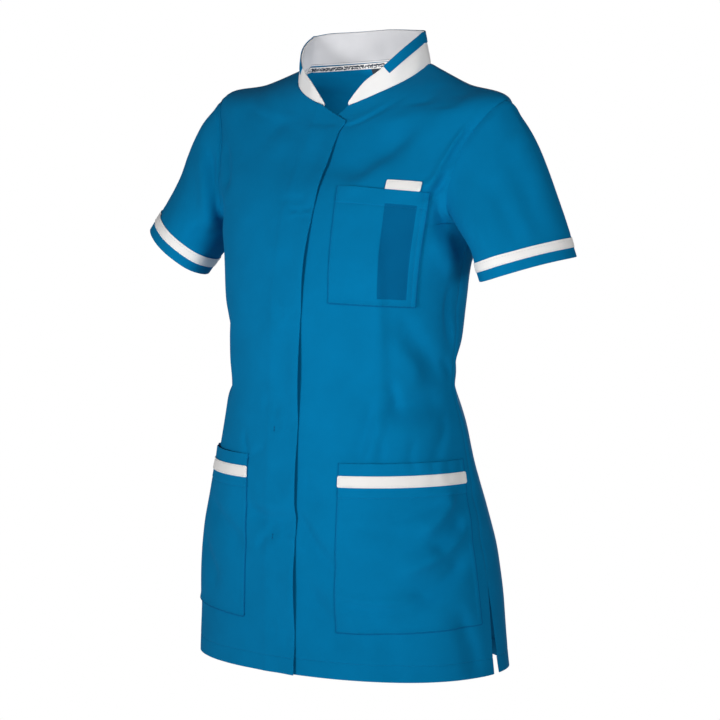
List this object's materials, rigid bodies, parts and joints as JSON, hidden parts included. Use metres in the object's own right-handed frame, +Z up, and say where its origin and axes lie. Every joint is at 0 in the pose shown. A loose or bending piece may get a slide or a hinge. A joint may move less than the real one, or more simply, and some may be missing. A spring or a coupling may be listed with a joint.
{
  "type": "medical tunic",
  "caption": "Short-sleeved women's medical tunic with a stand collar, concealed front fastening, patch pockets and side vents.",
  "frame": {"origin": "midway between the two neck ends of the shoulder seams, a few millimetres above them, where the wearer's shoulders hold the garment", "axes": "+Z up the body, -Y out of the front, +X toward the wearer's left"},
  "size_m": [0.6363, 0.2898, 0.801],
  "materials": {
    "blue_twill": "matt",
    "white_twill": "matt",
    "label_satin": "satin"
  },
  "bodies": {
    "root": {"back": "blue_twill", "front_right": "blue_twill", "front_left": "blue_twill", "sleeve_right": "blue_twill", "sleeve_left": "blue_twill", "sleeve_band_right": "white_twill", "sleeve_band_left": "white_twill", "collar": "white_twill", "collar_trim": "blue_twill", "chest_pocket": "blue_twill", "chest_tab": "white_twill", "pocket_right": "blue_twill", "pocket_left": "blue_twill", "pocket_strip_right": "white_twill", "pocket_strip_left": "white_twill", "neck_label": "label_satin"}
  },
  "joints": []
}
